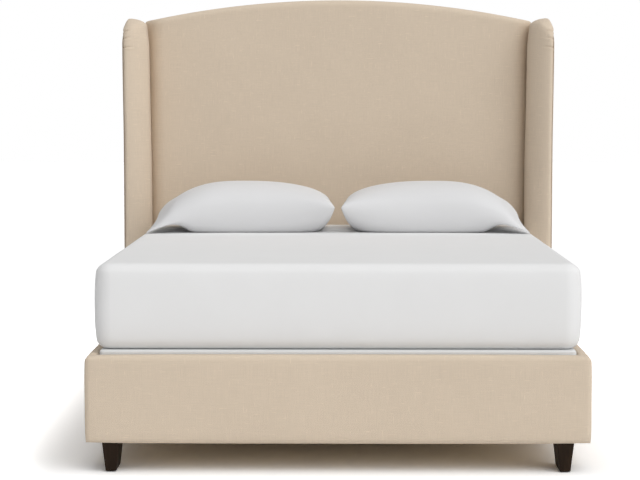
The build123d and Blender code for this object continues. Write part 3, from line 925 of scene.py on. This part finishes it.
cad_finishes = {
    "footboard_core": pine_x,
    "side_rail_core_left": pine_y,
    "side_rail_core_right": pine_y,
    "headboard_top_rail": pine_x,
    "headboard_mid_rail": pine_x,
    "headboard_bottom_rail": pine_x,
    "headboard_stile_left": pine_z,
    "headboard_stile_right": pine_z,
    "wing_core_left": ply,
    "wing_core_right": ply,
    "centre_legs": espresso,
    "leg_glides": nylon,
    "corner_blocks": pine_y,
    "floor_bearers": pine_y,
    "cross_bearers": pine_x,
    "storage_floor_foot": ply,
    "storage_floor_middle": ply,
    "storage_floor_head": ply,
    "head_board": ply,
    "side_ledger_left": pine_y,
    "side_ledger_right": pine_y,
    "foot_ledger": pine_x,
    "corner_brackets": zinc,
    "bracket_bolts": zinc,
    "deck_board": ply,
    "platform_side_tubes": black_steel,
    "platform_cross_tubes": black_steel,
    "platform_arm_left": black_steel,
    "platform_arm_right": black_steel,
    "platform_pins": zinc,
    "hinge_plate_left": black_steel,
    "hinge_plate_right": black_steel,
    "hinge_pins": zinc,
    "rear_lever_left": black_steel,
    "rear_lever_right": black_steel,
    "front_lever_left": black_steel,
    "front_lever_right": black_steel,
    "strut_cylinder_left": strut_black,
    "strut_cylinder_right": strut_black,
    "strut_rod_left": chrome,
    "strut_rod_right": chrome,
}
for node, finish in cad_finishes.items():
    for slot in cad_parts[node].material_slots:
        slot.material = finish.material


# Floor, light and camera

# The soft sides of the light: degrees to the right of the front, degrees above
# the floor, how narrow it is, and its strength.
light_sides = (
    (42, 40, 5, 2.32),
    (0, 88, 3, 0.5),
)
light_fill = 0.22
floor_bounce = 0.9
# To the camera the floor has a plain white level at the bed, where the bed's shadow stays. Over
# the first 0.3 m out from the bed's outline it rises to a brighter level, painted light that
# whites out the rest of the shadow; from 0.5 m to 3.5 m ahead of or behind the bed it falls back
# to the plain level.
floor_shown = 1.25
floor_painted_light_level = 2.2
painted_light_fade = 0.3
painted_light_fades_far = (0.5, 3.5)
floor_half = 30


def floor():
    """A wide floor that is white to the camera, but for the bed's shadow close to the bed; further
    out it is painted brighter, painted light that whites out the shadow.
    """
    form = bmesh.new()
    bmesh.ops.create_grid(form, x_segments=1, y_segments=1, size=floor_half)
    mesh = bpy.data.meshes.new("floor")
    form.to_mesh(mesh)
    form.free()
    made = bpy.data.objects.new("floor", mesh)
    bpy.context.scene.collection.objects.link(made)
    finish = Finish("floor_white")
    seen = finish.node("ShaderNodeLightPath", output="Is Camera Ray")
    x, y, _ = finish.parts(finish.place())
    beside = x.math("ABSOLUTE", x) - cad_bounds[1][0]
    beyond = y.math("ABSOLUTE", y) - cad_bounds[1][1]
    # Painted light: away from the bed the floor is shown brighter, so the bed's shadow there is
    # whited out.
    painted_light_ramp = beside.math("MAXIMUM", beside, beyond).ramp(0, painted_light_fade)
    painted_light_share = painted_light_ramp * (1 - beyond.ramp(*painted_light_fades_far))
    shown = finish.mixed(painted_light_share, grey(floor_shown), grey(floor_painted_light_level))
    colour = finish.mixed(seen, grey(floor_bounce), shown)
    diffuse = finish.node("ShaderNodeBsdfDiffuse", None, {"Color": colour})
    finish.node("ShaderNodeOutputMaterial", None, {"Surface": diffuse})
    mesh.materials.append(finish.material)


def white_surroundings():
    """White to the camera and to reflections, and the soft light on the bed."""
    world = bpy.data.worlds.new("studio")
    world.use_nodes = True
    bpy.context.scene.world = world
    graph = Graph(world.node_tree)
    way = graph.node("ShaderNodeTexCoord", output="Generated")
    level = light_fill
    for aside, above, focus, strength in light_sides:
        aside, above = radians(aside), radians(above)
        towards = (sin(aside) * cos(above), -cos(aside) * cos(above), sin(above))
        settings = {"operation": "DOT_PRODUCT"}
        facing = graph.node("ShaderNodeVectorMath", settings, {0: way, 1: towards}, output="Value")
        level = facing.math("MAXIMUM", facing, 0) ** focus * strength + level
    seen = graph.node("ShaderNodeLightPath", output="Is Camera Ray")
    glossy = graph.node("ShaderNodeLightPath", output="Is Glossy Ray")
    through = graph.node("ShaderNodeLightPath", output="Is Transmission Ray")
    white = seen.math("MAXIMUM", seen.math("MAXIMUM", seen, glossy), through)
    strength = level + white * (1 - level)
    light = graph.node("ShaderNodeBackground", None, {"Color": grey(1), "Strength": strength})
    graph.node("ShaderNodeOutputWorld", None, {"Surface": light})


def camera():
    """In front of the foot, above the bedding, looking slightly down and to the left."""
    photo_width = 640
    focal_pixels = 1968
    distance = 6.164
    height = 1.180
    down = radians(4.07)
    turn = radians(0.523)
    data = bpy.data.cameras.new("camera")
    data.sensor_width = 36
    data.lens = focal_pixels / photo_width * data.sensor_width
    made = bpy.data.objects.new("camera", data)
    made.location = (0, cad_bounds[0][1] - distance, height)
    made.rotation_euler = (pi / 2 - down, 0, turn)
    bpy.context.scene.collection.objects.link(made)
    bpy.context.scene.camera = made


floor()
white_surroundings()
camera()
bpy.context.scene.view_settings.view_transform = "Standard"
